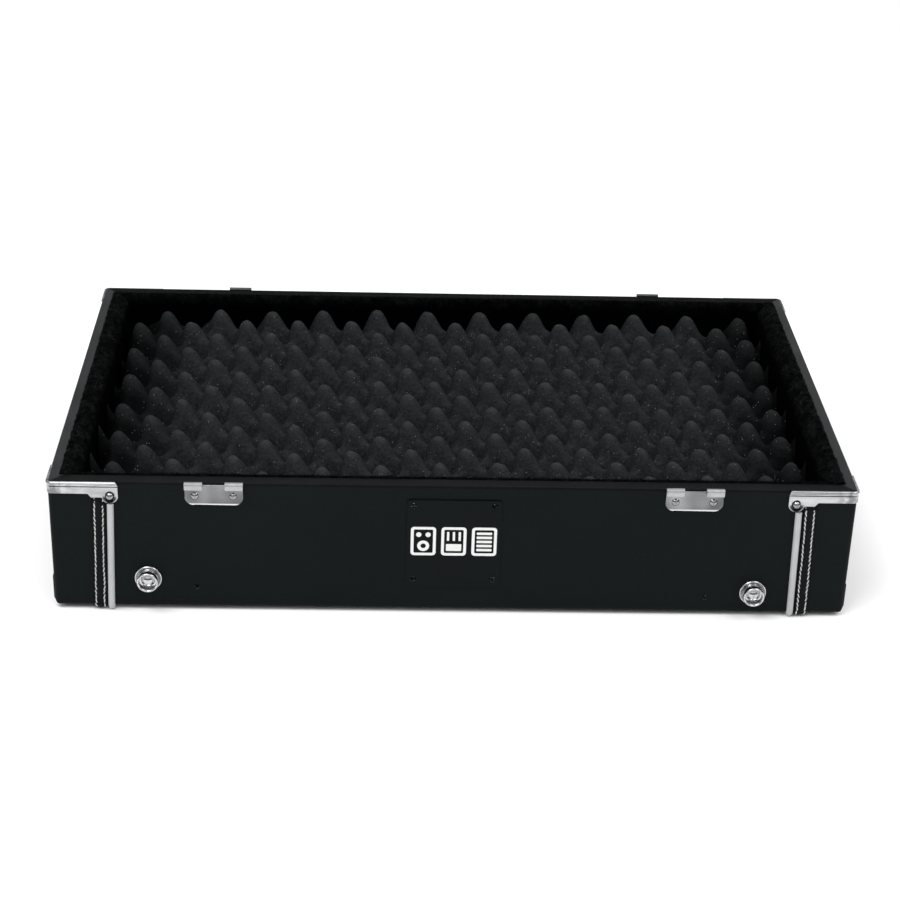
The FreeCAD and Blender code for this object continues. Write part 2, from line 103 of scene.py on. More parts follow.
# ---- materials ----
class Look:
    """A procedural material: its nodes work in object coordinates, in metres."""

    def __init__(self, name, **values):
        self.material = bpy.data.materials.new(name)
        self.material.use_nodes = True
        self.tree = self.material.node_tree
        self.shader = self.tree.nodes["Principled BSDF"]
        self.where = self.node("ShaderNodeTexCoord").outputs["Object"]
        for key, value in values.items():
            self.shader.inputs[key.replace("_", " ")].default_value = value

    def node(self, kind, inputs=None, **settings):
        """New node with its inputs linked or set."""
        made = self.tree.nodes.new(kind)
        for key, value in settings.items():
            setattr(made, key, value)
        for key, value in (inputs or {}).items():
            if isinstance(value, bpy.types.NodeSocket):
                self.tree.links.new(value, made.inputs[key])
            else:
                made.inputs[key].default_value = value
        return made

    def stretched(self, x, y, z):
        """Object coordinates scaled along each axis."""
        return self.node("ShaderNodeMapping", {"Vector": self.where, "Scale": (x, y, z)}).outputs[0]

    def noise(self, size_mm, detail=3.0, rough=0.55, where=None):
        """Cloudy noise between 0 and 1 with features of a size."""
        made = self.node("ShaderNodeTexNoise", {"Vector": where or self.where,
                                                "Scale": 1.0 / (size_mm * MM),
                                                "Detail": detail, "Roughness": rough})
        return made.outputs["Fac"]

    def cells(self, size_mm, output="Distance", feature="F1", where=None):
        """Voronoi cells of a size."""
        made = self.node("ShaderNodeTexVoronoi", {"Vector": where or self.where,
                                                  "Scale": 1.0 / (size_mm * MM)}, feature=feature)
        return made.outputs[output]

    def ramp(self, value, low=0.3, high=0.7, at_low=0.0, at_high=1.0):
        """Value between low and high mapped to at_low to at_high."""
        made = self.node("ShaderNodeMapRange", {"Value": value, "From Min": low, "From Max": high,
                                                "To Min": at_low, "To Max": at_high})
        return made.outputs["Result"]

    def math(self, operation, a, b=0.0):
        """Result of one operation."""
        return self.node("ShaderNodeMath", {0: a, 1: b}, operation=operation).outputs[0]

    def times(self, a, b):
        """Product of two values."""
        return self.math("MULTIPLY", a, b)

    def axes(self):
        """Object coordinates one by one, as outputs named X, Y and Z."""
        return self.node("ShaderNodeSeparateXYZ", {"Vector": self.where}).outputs

    def mix(self, factor, a, b):
        """Colour between a and b."""
        made = self.node("ShaderNodeMix", {"Factor": factor}, data_type="RGBA")
        for key, value in (("A", a), ("B", b)):
            socket = [s for s in made.inputs if s.name == key and s.type == "RGBA"][0]
            if isinstance(value, bpy.types.NodeSocket):
                self.tree.links.new(value, socket)
            else:
                socket.default_value = (*value, 1.0)
        return [s for s in made.outputs if s.type == "RGBA"][0]

    def colour(self, socket):
        """Link the base colour."""
        self.tree.links.new(socket, self.shader.inputs["Base Color"])
        return self

    def rough(self, value, low, high):
        """Roughness that follows a noise between two values."""
        self.tree.links.new(self.ramp(value, 0.3, 0.7, low, high), self.shader.inputs["Roughness"])
        return self

    def bump(self, *layers):
        """Bump from (height, depth in millimetres) layers, the first one coarsest."""
        normal = None
        for height, depth in layers:
            inputs = {"Height": height, "Distance": depth * MM, "Strength": 1.0}
            if normal:
                inputs["Normal"] = normal
            normal = self.node("ShaderNodeBump", inputs).outputs["Normal"]
        self.tree.links.new(normal, self.shader.inputs["Normal"])
        return self


def vinyl_look(name, dark, light, grain=1.0):
    """Black leather-grained covering: pebbled cells, faint clouding and a few dull scuffs."""
    look = Look(name, Specular_IOR_Level=0.085)
    warp = look.node("ShaderNodeTexNoise", {"Vector": look.where, "Scale": 300.0, "Detail": 2.0})
    moved = look.node("ShaderNodeVectorMath",
                      {0: warp.outputs["Color"], 1: (0.0012, 0.0012, 0.0012)},
                      operation="MULTIPLY").outputs[0]
    where = look.node("ShaderNodeVectorMath", {0: look.where, 1: moved}, operation="ADD").outputs[0]
    pebble = look.cells(1.5 * grain, feature="SMOOTH_F1", where=where)
    crease = look.cells(1.5 * grain, feature="DISTANCE_TO_EDGE", where=where)
    cloud = look.noise(60.0, 4.0)
    scuff = look.ramp(look.noise(9.0, 6.0, 0.7, look.stretched(1.0, 0.5, 3.0)), 0.62, 0.80)
    tone = look.math("ADD", look.ramp(cloud, 0.3, 0.7, 0.0, 0.6),
                     look.ramp(crease, 0.0, 0.25, 0.0, 0.4))
    base = look.mix(tone, dark, light)
    dusty = look.mix(look.times(scuff, 0.25), base, tuple(c * 2.2 for c in light))
    look.colour(dusty)
    look.rough(cloud, 0.46, 0.60)
    return look.bump((look.noise(25.0, 2.0), 0.25), (pebble, 0.10 * grain),
                     (look.noise(0.35, 2.0), 0.015))


def metal_look(name, colour, rough_low, rough_high, scratch=0.004):
    """Plated metal with fine wear, haze and a little unevenness."""
    look = Look(name, Metallic=1.0, Specular_IOR_Level=0.5)
    haze = look.noise(7.0, 5.0, 0.65)
    dulled = tuple(c * 0.80 for c in colour)
    look.colour(look.mix(look.ramp(haze, 0.35, 0.75), colour, dulled))
    look.rough(haze, rough_low, rough_high)
    lines = look.noise(0.5, 4.0, 0.6, look.stretched(1.0, 1.0, 0.12))
    return look.bump((look.noise(12.0, 1.0), 0.05), (lines, scratch))


def cap_look():
    """Chromed sheet: streaked along its length, with painted shade standing for dark reflections at
    the corner and in the lower half of its screw dish.
    """
    look = Look("cap_chrome", Metallic=1.0, Specular_IOR_Level=0.5)
    split = look.axes()
    beside = look.math("SUBTRACT", look.math("ABSOLUTE", split["X"]), LOBE[0] * MM)
    above = look.math("SUBTRACT", split["Z"], LOBE[1] * MM)
    away = look.math("SQRT", look.math("ADD", look.times(beside, beside),
                                       look.times(above, above)))
    # painted shade: the lower half of the screw dish is painted near black, standing for a dark
    # reflection
    dish = look.times(look.ramp(away, 6.6 * MM, 5.4 * MM),
                      look.ramp(above, 1.2 * MM, -1.2 * MM))
    streak = look.ramp(look.noise(16.0, 3.0, 0.6, look.stretched(0.6, 1.0, 2.0)), 0.36, 0.66)
    # painted shade: the outer corner is painted darker in patches, standing for a dark reflection
    corner = look.times(look.ramp(beside, 26.0 * MM, 46.0 * MM),
                       look.ramp(look.noise(8.0, 3.0), 0.42, 0.58))
    base = look.mix(streak, (0.34, 0.348, 0.355), (0.52, 0.53, 0.54))
    base = look.mix(look.times(corner, 0.8), base, (0.13, 0.135, 0.14))
    look.colour(look.mix(look.times(dish, 0.95), base, (0.02, 0.021, 0.022)))
    look.rough(look.noise(7.0, 5.0, 0.65), 0.10, 0.22)
    return look.bump((look.noise(12.0, 1.0), 0.05), (look.noise(0.5, 4.0, 0.6), 0.004))


def black_screw_look():
    """Black oxide screw with small bright spots of painted highlight mixed into its colour."""
    look = Look("screw_black", Metallic=1.0, Specular_IOR_Level=0.5)
    # painted highlight: small bright glints painted into the colour
    painted_light = look.ramp(look.noise(1.1, 2.0), 0.58, 0.64)
    look.colour(look.mix(painted_light, (0.0030, 0.0045, 0.0050), (0.085, 0.090, 0.095)))
    look.rough(look.noise(5.0, 3.0), 0.10, 0.20)
    return look.bump((look.noise(1.5, 3.0), 0.02))


def hinge_look():
    """Zinc-plated steel: the hooks that stand out are painted lighter than the plate as painted
    highlight, and the plate's bottom edge is painted bright as painted reflection.
    """
    look = Look("hinge_zinc", Metallic=1.0, Specular_IOR_Level=0.5)
    split = look.axes()
    proud = look.ramp(split["Y"], (-FACE - 2.0) * MM, (-FACE - 3.6) * MM)
    # painted reflection: the plate's bottom strip is painted bright
    painted_light = look.ramp(split["Z"], (HINGE_LOW + 1.7) * MM, (HINGE_LOW + 0.9) * MM)
    haze = look.noise(8.0, 5.0, 0.65)
    sweep = look.ramp(look.noise(30.0, 1.0), 0.35, 0.65)
    plate = look.mix(sweep, (0.11, 0.114, 0.118), (0.30, 0.305, 0.31))
    plate = look.mix(painted_light, plate, (0.66, 0.665, 0.67))
    # painted highlight: the hooks that stand out get a lighter copy of the plate's zinc colour
    hook = look.mix(look.ramp(haze, 0.35, 0.75), (0.41, 0.415, 0.42), (0.34, 0.345, 0.35))
    look.colour(look.mix(proud, plate, hook))
    fold = look.ramp(split["Z"], (HINGE_HIGH - 2.6) * MM, (HINGE_HIGH - 1.2) * MM, 0.0, 0.42)
    dull = look.math("ADD", look.ramp(haze, 0.3, 0.7, 0.20, 0.34), fold)
    look.tree.links.new(dull, look.shader.inputs["Roughness"])
    lines = look.noise(0.5, 4.0, 0.6, look.stretched(0.12, 1.0, 1.0))
    return look.bump((look.noise(14.0, 1.0), 0.35), (lines, 0.008))


def trim_look(name, dark, light, shine):
    """Satin black strip with fine lengthwise extrusion lines."""
    look = Look(name, Specular_IOR_Level=shine)
    along = (0.04, 1.0, 1.0) if "long" in name else (1.0, 0.04, 1.0)
    lines = look.noise(1.0, 3.0, 0.6, look.stretched(*along))
    cloud = look.noise(30.0, 4.0)
    mark = look.ramp(look.noise(5.0, 6.0, 0.75), 0.66, 0.82)
    base = look.mix(look.ramp(cloud), dark, light)
    look.colour(look.mix(look.times(mark, 0.3), base, tuple(c * 2.0 for c in light)))
    look.rough(lines, 0.36, 0.50)
    return look.bump((look.noise(18.0, 2.0), 0.12), (lines, 0.02))


def piping_look():
    """Light grey satin bead with faint lengthwise shading and handling marks."""
    look = Look("piping_grey", Specular_IOR_Level=0.45, Coat_Weight=0.15, Coat_Roughness=0.25)
    cloud = look.noise(22.0, 4.0, 0.6)
    grime = look.ramp(look.noise(3.0, 6.0, 0.75, look.stretched(1.0, 0.5, 0.5)), 0.58, 0.80)
    base = look.mix(look.ramp(cloud), (0.40, 0.405, 0.415), (0.48, 0.485, 0.495))
    look.colour(look.mix(look.times(grime, 0.35), base, (0.25, 0.25, 0.25)))
    look.rough(cloud, 0.30, 0.45)
    return look.bump((look.noise(9.0, 2.0), 0.10), (look.noise(0.6, 3.0), 0.012))


def foam_look():
    """Charcoal open-cell foam: pores and pale specks, with painted shade in its valleys and at its
    ends and painted highlight on its tips.
    """
    look = Look("foam_charcoal", Specular_IOR_Level=0.03)
    split = look.axes()
    height, out = split["Z"], look.math("ABSOLUTE", split["X"])
    # painted shade: darker lower down towards the valleys, lighter towards the tips
    painted_light = look.ramp(height, (PAD_HIGH.z - 26.0) * MM, (PAD_HIGH.z - 3.0) * MM, 0.0, 1.0)
    # painted shade: mask that darkens the foam towards the end walls
    end = look.ramp(out, 240.0 * MM, 318.0 * MM, 0.0, 0.72)
    cloud = look.noise(35.0, 4.0, 0.6)
    tone = look.math("ADD", look.times(painted_light, 0.80),
                     look.times(look.ramp(cloud), 0.20))
    base = look.mix(tone, (0.0050, 0.0055, 0.0059), (0.0240, 0.0257, 0.0272))
    # painted highlight: the top 5 mm of each tip is painted lighter
    tip = look.ramp(height, (PAD_HIGH.z - 5.0) * MM, (PAD_HIGH.z - 1.0) * MM, 0.0, 0.35)
    base = look.mix(tip, base, (0.050, 0.053, 0.055))
    torn = look.ramp(look.noise(3.2, 3.0, 0.6), 0.34, 0.66)
    base = look.mix(look.times(torn, 0.42), base, (0.040, 0.043, 0.045))
    # painted shade: towards the end walls the colour goes nearly black
    base = look.mix(end, base, (0.0030, 0.0036, 0.0034))
    # painted shade: the valleys near the end walls are painted nearly black
    deep = look.ramp(height, (PAD_HIGH.z - 8.0) * MM, (PAD_HIGH.z - 19.0) * MM, 0.0, 0.9)
    wall = look.ramp(out, 245.0 * MM, 296.0 * MM)
    base = look.mix(look.times(deep, wall), base, (0.0006, 0.0008, 0.0008))
    pore = look.cells(0.8)
    pitted = look.mix(look.ramp(pore, 0.2, 0.8, 0.0, 0.5), base, (0.006, 0.0065, 0.007))
    dot = look.math("LESS_THAN", look.cells(2.3), 0.15)
    rare = look.math("GREATER_THAN",
                     look.node("ShaderNodeSeparateColor",
                               {"Color": look.cells(2.3, "Color")}).outputs["Red"], 0.84)
    look.colour(look.mix(look.times(dot, rare), pitted, (0.16, 0.165, 0.17)))
    look.rough(cloud, 0.88, 0.98)
    return look.bump((look.noise(6.0, 4.0), 1.3), (torn, 0.35), (pore, 0.20),
                     (look.noise(0.5, 2.0), 0.05))


def plush_look(name, dark, light):
    """Black pile that clumps into soft ridges, lighter in patches along the rim and plain dark
    below it.
    """
    look = Look(name, Specular_IOR_Level=0.01)
    clump = look.noise(6.0, 5.0, 0.65)
    tone = look.mix(look.ramp(clump, 0.35, 0.7), dark, light)
    height = look.axes()["Z"]
    # lighter in patches within 13 mm of the rim, plain dark further down
    near_rim = look.ramp(height, (RIM - 13.0) * MM, (RIM - 3.0) * MM)
    patch = look.ramp(look.noise(14.0, 4.0, 0.6), 0.38, 0.62, 0.25, 1.0)
    look.colour(look.mix(look.times(near_rim, patch), dark, tone))
    look.rough(clump, 0.85, 0.98)
    return look.bump((clump, 1.6), (look.noise(0.9, 4.0, 0.7), 0.5))


def plate_look():
    """Smooth black name plate with a slight orange peel and fine marks."""
    look = Look("name_plate_black", Specular_IOR_Level=0.09)
    cloud = look.noise(25.0, 4.0)
    fine = look.noise(1.2, 5.0, 0.7, look.stretched(1.0, 1.0, 0.3))
    base = look.mix(look.ramp(cloud), (0.0003, 0.0017, 0.0025), (0.0013, 0.0031, 0.0041))
    mark = look.times(look.ramp(fine, 0.62, 0.8), 0.3)
    look.colour(look.mix(mark, base, (0.04, 0.04, 0.04)))
    look.rough(cloud, 0.30, 0.42)
    return look.bump((look.noise(2.5, 2.0), 0.012), (fine, 0.006))


def print_look():
    """White screen print with slightly uneven ink."""
    look = Look("print_white", Specular_IOR_Level=0.3)
    ink = look.noise(0.9, 5.0, 0.7)
    look.colour(look.mix(look.ramp(ink, 0.35, 0.75), (0.86, 0.86, 0.85), (0.70, 0.70, 0.70)))
    look.rough(ink, 0.5, 0.65)
    return look.bump((ink, 0.01))


def thread_look():
    """White twisted sewing thread."""
    look = Look("thread_white", Specular_IOR_Level=0.2, Sheen_Weight=0.2)
    wave = {"Vector": look.where, "Scale": 420.0, "Distortion": 1.5, "Detail": 1.0}
    twist = look.node("ShaderNodeTexWave", wave, bands_direction="DIAGONAL").outputs["Fac"]
    soil = look.noise(8.0, 4.0)
    base = look.mix(look.ramp(soil, 0.35, 0.75), (0.70, 0.70, 0.69), (0.50, 0.50, 0.49))
    # painted shade: the twist's grooves are painted darker
    look.colour(look.mix(look.ramp(twist, 0.0, 0.4, 0.45, 0.0), base, (0.30, 0.30, 0.30)))
    look.rough(soil, 0.7, 0.85)
    return look.bump((twist, 0.10))


def wood_look():
    """Birch plywood: long grain with darker streaks."""
    look = Look("plywood_birch", Specular_IOR_Level=0.25)
    grain = look.noise(3.0, 6.0, 0.65, look.stretched(0.06, 0.06, 1.0))
    wave = {"Vector": look.where, "Scale": 110.0, "Distortion": 0.6}
    plies = look.node("ShaderNodeTexWave", wave, bands_direction="Z").outputs["Fac"]
    base = look.mix(look.ramp(grain), (0.50, 0.35, 0.20), (0.62, 0.47, 0.30))
    look.colour(look.mix(look.times(plies, 0.25), base, (0.33, 0.21, 0.11)))
    look.rough(grain, 0.6, 0.8)
    return look.bump((grain, 0.06))


VINYL = vinyl_look("vinyl_black", (0.0009, 0.0026, 0.0029), (0.0038, 0.0061, 0.0067))
SOFT_VINYL = vinyl_look("seam_vinyl_black", (0.0008, 0.0020, 0.0023), (0.0028, 0.0042, 0.0047), 0.8)
CAP = cap_look()
HINGE = hinge_look()
EDGE = metal_look("edge_bright", (0.25, 0.254, 0.258), 0.65, 0.8)
NICKEL = metal_look("foot_nickel", (0.60, 0.605, 0.61), 0.07, 0.14, scratch=0.001)
STEEL = metal_look("screw_steel", (0.60, 0.61, 0.62), 0.08, 0.16)
# painted shade: a darker copy of the screw steel for the hinge and cap screws, also a little
# rougher
DULL_SHADED_STEEL = metal_look("screw_dull_shaded", (0.34, 0.345, 0.35), 0.10, 0.18)
# painted shade: the nickel latch parts are given a near-black colour
SHADED_LATCH = metal_look("latch_nickel_shaded", (0.06, 0.062, 0.065), 0.26, 0.38)
BLACK_SCREW = black_screw_look()
TRIM_LONG = trim_look("trim_long_front", (0.0032, 0.0037, 0.0040), (0.0052, 0.0058, 0.0062), 0.035)
# painted shade: the rear strip is a darker copy of the front strip's colour
TRIM_REAR_SHADED = trim_look("trim_long_rear_shaded", (0.0015, 0.0017, 0.0018), (0.0032, 0.0034, 0.0036), 0.015)
# painted highlight: the end strips are a lighter copy of the front strip's colour
TRIM_SHORT_LIT = trim_look("trim_short_lit", (0.014, 0.0155, 0.016), (0.022, 0.024, 0.025), 0.08)
PIPING = piping_look()
FOAM = foam_look()
PLUSH = plush_look("plush_black", (0.0004, 0.0005, 0.0005), (0.0058, 0.0066, 0.0062))
PILE = plush_look("plush_pile_black", (0.0008, 0.0010, 0.0009), (0.0125, 0.0145, 0.0135))
# painted highlight: the end walls' pile is a lighter copy of the long walls' pile
END_PILE_LIT = plush_look("plush_pile_end_lit", (0.0020, 0.0024, 0.0022), (0.031, 0.036, 0.033))
PLATE = plate_look()
PRINT = print_look()
THREAD = thread_look()
WOOD = wood_look()

FINISH = {
    "plywood": WOOD, "vinyl": VINYL, "seam_vinyl": SOFT_VINYL, "piping": PIPING, "trim": TRIM_LONG,
    "plush": PLUSH, "foam": FOAM, "screw_steel": STEEL, "cap_chrome": CAP, "hinge_zinc": HINGE,
    "foot_nickel": NICKEL, "black_screw": BLACK_SCREW, "name_plate": PLATE, "latch_chrome": SHADED_LATCH,
}
OWN_FINISH = {"rim_trim_rear": TRIM_REAR_SHADED, "rim_trim_left": TRIM_SHORT_LIT, "rim_trim_right": TRIM_SHORT_LIT,
              "hinge_screws": DULL_SHADED_STEEL, "corner_cap_screws": DULL_SHADED_STEEL}


def look_of(part):
    """Finish of a CAD node: its own, or the one of its slot."""
    return OWN_FINISH.get(part["node"], FINISH[part["material_slot"]])


def finish_nodes():
    """Give every CAD node its material."""
    for part in frame["record"]["subparts"]:
        node = NODES[part["node"]]
        node.data.materials.clear()
        node.data.materials.append(look_of(part).material)


# ---- meshes ----
def placed(name, data):
    """New object in the scene."""
    made = bpy.data.objects.new(name, data)
    bpy.context.scene.collection.objects.link(made)
    return made


def piece(name, points, faces, look, body="case", smooth=True):
    """Mesh object from points in millimetres, riding on a body."""
    mesh = bpy.data.meshes.new(name)
    mesh.from_pydata((np.asarray(points, dtype=float) * MM).tolist(), [], faces)
    mesh.validate()
    mesh.polygons.foreach_set("use_smooth", [smooth] * len(mesh.polygons))
    mesh.materials.append(look.material)
    mesh.update()
    made = placed(name, mesh)
    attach(made, body)
    return made


def grid_faces(rows, columns, start=0, closed=False):
    """Quads of a grid of points stored row by row; closed joins the last column to the first."""
    last = columns if closed else columns - 1
    return [(start + r * columns + c, start + r * columns + (c + 1) % columns,
             start + (r + 1) * columns + (c + 1) % columns, start + (r + 1) * columns + c)
            for r in range(rows - 1) for c in range(last)]


def tube_faces(rows, columns, start=0, turned_in=False):
    """Closed grid with a face over each end, in either sense of turning."""
    first = range(start, start + columns)
    last = range(start + (rows - 1) * columns, start + rows * columns)
    ends = (first, reversed(last)) if turned_in else (reversed(first), last)
    return grid_faces(rows, columns, start, closed=True) + [tuple(end) for end in ends]


def flipped(faces):
    """Faces turned over."""
    return [tuple(reversed(face)) for face in faces]


def welded(made, angle):
    """Join a piece's doubled points, turn its faces out and mark edges sharper than an angle."""
    mesh = bmesh.new()
    mesh.from_mesh(made.data)
    bmesh.ops.remove_doubles(mesh, verts=mesh.verts, dist=0.001 * MM)
    bmesh.ops.recalc_face_normals(mesh, faces=mesh.faces)
    mesh.to_mesh(made.data)
    mesh.free()
    made.data.set_sharp_from_angle(angle=math.radians(angle))


def circle(radius, count):
    """Points of a circle about the origin."""
    turns = [2.0 * math.pi * k / count for k in range(count)]
    return [(radius * math.cos(a), radius * math.sin(a)) for a in turns]


def lumps(point, size, seed=0.0):
    """Smooth noise between about -1 and 1 with features of a size in millimetres."""
    return noise.noise(Vector(point) / size + Vector((seed, seed * 1.7, -seed)))


# ---- foam ----
HALF_PITCH = 26.2  # between a peak's column and the next one
ROW_PITCH = 27.5  # between rows
RIDGE_DIP = 15.4  # peaks above the ridges that join them, towards the front right
TROUGH_DROP = 19.5  # ridges above the troughs between them
TIP_R = 9.7  # reach of a peak along its ridge
FLANK_R = 9.7  # reach of a ridge's flank
LEAN = 3.6  # the peaks lean to the left by this much
MIDDLE = (12.6, 24.7)  # where the middle column and row cross
ROW_TILT = 12.8  # what the rows shift to the rear by over half the length
ROW_BOW = 11.3  # and what their ends fall by
ROW_FAN = 10.1  # change of the tilt from the rear half to the front half
BOW_FAN = 2.6  # change of the bow from the rear half to the front half
COLUMN_SHIFT = 2.8  # what the columns move to the right by over the front half
COLUMN_FAN = 2.5  # and what their outer ones draw in by
HALF_COLUMNS, HALF_ROWS = 12.0, 6.0  # from the middle to the outer ones
TIP_POWER, FLANK_POWER = 2.5, 2.6  # how blunt the tips and the ridges' tops are
FOAM_STEP = 1.9  # spacing of the mesh's points


def lattice(x, y):
    """Column and row of the peaks' lattice at each point."""
    across, along = np.zeros_like(x), np.zeros_like(y)
    for _ in range(25):
        moved = x - MIDDLE[0] - COLUMN_SHIFT * along + COLUMN_FAN * along * across
        across = moved / (HALF_COLUMNS * HALF_PITCH)
        bent = ROW_TILT * across - ROW_BOW * across ** 2 + ROW_FAN * along * across
        bent = bent - BOW_FAN * along * across ** 2
        along = (MIDDLE[1] + bent - y) / (HALF_ROWS * ROW_PITCH)
    return HALF_COLUMNS * across + HALF_COLUMNS, HALF_ROWS * along + HALF_ROWS


def peak_drop(column, row):
    """Depth below the peaks, which stand at every other crossing of columns and rows."""
    spacing = math.hypot(HALF_PITCH, ROW_PITCH) / 2.0
    along = np.abs((column + row) % 2.0 - 1.0) * spacing
    across = np.abs((column - row) % 2.0 - 1.0) * spacing
    along = np.sqrt(along ** 2 + 1.0) - 1.0
    dip = 1.0 - np.exp(-(along / TIP_R) ** TIP_POWER)
    flank = 1.0 - np.exp(-(across / FLANK_R) ** FLANK_POWER)
    return RIDGE_DIP * dip + TROUGH_DROP * flank


def make_foam_pad():
    """Convoluted foam: rounded peaks in staggered rows, cut square at its edges."""
    columns = int((PAD_HIGH.x - PAD_LOW.x) / FOAM_STEP) + 1
    rows = int((PAD_HIGH.y - PAD_LOW.y) / FOAM_STEP) + 1
    inset = 0.6
    xs = np.linspace(PAD_LOW.x + inset, PAD_HIGH.x - inset, columns)
    ys = np.linspace(PAD_LOW.y + inset, PAD_HIGH.y - inset, rows)
    x, y = np.meshgrid(xs, ys)
    random_state = np.random.RandomState(7)

    def soft_noise(size, amount):
        """Smooth random field over the pad, features of a size, between -amount and amount."""
        nx, ny = int(700 / size) + 4, int(420 / size) + 4
        knots = random_state.uniform(-amount, amount, (ny, nx))
        u, v = (x + 345.0) / size + 1.0, (y + 207.0) / size + 1.0
        i, j = np.floor(u).astype(int), np.floor(v).astype(int)
        s, t = u - i, v - j
        s, t = s * s * (3 - 2 * s), t * t * (3 - 2 * t)
        low = knots[j, i] * (1 - s) + knots[j, i + 1] * s
        high = knots[j + 1, i] * (1 - s) + knots[j + 1, i + 1] * s
        return low * (1 - t) + high * t

    edge = np.minimum.reduce([x - xs[0], xs[-1] - x, y - ys[0], ys[-1] - y])
    lean = LEAN * np.clip(edge / 14.0, 0.0, 1.0)
    column, row = lattice(x - lean, y)
    column = column + soft_noise(45.0, 0.07)
    row = row + soft_noise(45.0, 0.07)
    drop = peak_drop(column, row)
    to_end = np.minimum(x - xs[0], xs[-1] - x)
    drop = drop * (1.0 + 0.9 * np.clip(1.0 - to_end / 16.0, 0.0, 1.0))
    top = PAD_HIGH.z - 0.8 - drop
    top = top - np.abs(soft_noise(60.0, 1.8)) + soft_noise(11.0, 0.9) + soft_noise(5.0, 0.6)
    top = top - 1.2 * np.clip(1.0 - edge / 3.0, 0.0, 1.0) ** 2
    top = np.minimum(top, PAD_HIGH.z)
    leaning = x - lean * np.exp(-(drop / 15.0) ** 2)
    points = np.stack([leaning, y, top], axis=-1).reshape(-1, 3)
    faces = grid_faces(rows, columns)
    ring = list(range(columns))
    ring += [r * columns + columns - 1 for r in range(1, rows)]
    ring += [(rows - 1) * columns + c for c in range(columns - 2, -1, -1)]
    ring += [r * columns for r in range(rows - 2, 0, -1)]
    points = list(map(tuple, points))
    upper = ring
    for level in (0.66, 0.33, 0.0):
        start = len(points)
        for index in ring:
            px, py, pz = points[index]
            wave = 0.25 * lumps((px, py, 40.0 * level), 14.0)
            points.append((px + wave * np.sign(px) * (abs(px) > PAD_HIGH.x - 2.0), py,
                           PAD_LOW.z + 0.2 + level * (pz - PAD_LOW.z)))
        lower = [start + k for k in range(len(ring))]
        faces += [(upper[k], lower[k], lower[(k + 1) % len(ring)], upper[(k + 1) % len(ring)])
                  for k in range(len(ring))]
        upper = lower
    faces.append(tuple(upper))
    pad = piece("foam_convoluted", points, faces, FOAM)
    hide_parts("foam_pad")


def make_foam_base():
    """Flat foam layer under the pad, with softly rounded cut edges."""
    low, high = box_mm("foam_base")
    mesh = bmesh.new()
    bmesh.ops.create_cube(mesh, size=1.0)
    for vert in mesh.verts:
        vert.co = Vector(((low[k] + high[k]) / 2 + vert.co[k] * (high[k] - low[k] - 0.6)
                          for k in range(3)))
    bmesh.ops.subdivide_edges(mesh, edges=mesh.edges[:], cuts=24, use_grid_fill=True)
    for vert in mesh.verts:
        vert.co.z -= 0.25 + 0.25 * lumps(vert.co, 30.0)
    points = [vert.co[:] for vert in mesh.verts]
    faces = [[vert.index for vert in face.verts] for face in mesh.faces]
    mesh.free()
    base = piece("foam_flat_layer", points, faces, FOAM)
    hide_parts("foam_base")


# ---- plush ----
PILE_ROWS = 9  # points of a section, from the rim down, that carry tufts
TUFTS = 1.3  # tufts to a square millimetre
TUFT_HALF = 0.16  # half the width of a tuft
TUFT_REACH = (1.2, 2.8)  # its length
TUFT_ROOT = 0.4  # how deep it starts


def plush_section(along, side_seed, end_wall):
    """Closed section of the lining: (distance into the tray, z) from the rim round and back."""
    roll = 1.0 + 0.35 * lumps((along, 0.0, 0.0), 16.0, side_seed)
    fray = 0.9 * lumps((along, 5.0, 0.0), 7.0, side_seed)
    fray = fray + 0.6 * lumps((along, 9.0, 0.0), 2.8, side_seed)
    under = [(0.2, PAD_LOW.z + 0.5), (0.2, RIM - 40.0), (0.2, RIM - 2.6), (3.6, RIM - 2.6),
             (3.6, RIM + 0.05)]
    if end_wall:
        fold = 0.9 + 0.8 * lumps((along, 2.0, 0.0), 30.0, side_seed)
        edge = -0.9 + fray
        inward = [(-1.0 + fray, 0.15), (0.4 + fray, 1.1), (2.6, 1.3), (4.8, 0.7),
                  (6.4, 0.7 + fold), (7.8, -0.6), (9.6, -2.4), (11.6, -5.0), (13.0, -8.6),
                  (13.8, -13.0), (13.9, -19.0), (13.8, -27.0), (13.8, -38.0)]
    else:
        edge = 3.0 + 0.5 * fray
        inward = [(2.9 + 0.5 * fray, 0.2), (4.4, 0.9 * roll), (6.2, 0.3), (7.4 * roll, -1.8),
                  (7.9 * roll, -5.0), (7.2 * roll, -9.0), (6.2, -13.0), (5.6, -18.0), (5.0, -24.0),
                  (4.6, -31.0), (4.3, -38.0), (4.2, -46.0), (4.1, -56.0)]
    inward = [(into, RIM + up) for into, up in inward]
    inward.append((13.8 if end_wall else 4.0, PAD_LOW.z + 0.5))
    return inward, under + [(edge, RIM + 0.05)]


def make_plush(name, start, end, inward_axis):
    """One wall's pile, from start to end along the wall; inward_axis points into the tray."""
    length = (end - start).length
    steps = int(length / 2.4)
    direction = (end - start).normalized()
    seed = 3.0 + 2.0 * len(name)
    points, count = [], 0
    for k in range(steps + 1):
        along = length * k / steps
        inward, back = plush_section(along, seed, abs(inward_axis.x) > 0.5)
        count = len(inward) + len(back)
        for index, (into, z) in enumerate(inward):
            at = start + direction * along + inward_axis * into
            at.z = z
            if 0 < index:
                deep = min(1.0, (RIM + 2.0 - z) / 8.0)
                swell = 1.5 * lumps(at, 13.0, seed) + 0.9 * lumps(at, 5.5, seed + 9)
                swell += 0.45 * lumps(at, 2.6, seed + 4)
                free = into > 5.4
                at = at + inward_axis * (swell if free else 0.3 * swell) * deep
                at.z += 0.5 * lumps(at, 6.0, seed + 2) * (1.0 if index > 2 else 0.7)
            points.append(at[:])
        for into, z in back:
            at = start + direction * along + inward_axis * into
            at.z = z
            points.append(at[:])
    made = piece(name, points, tube_faces(steps + 1, count), PLUSH)
    return made, points, steps, count


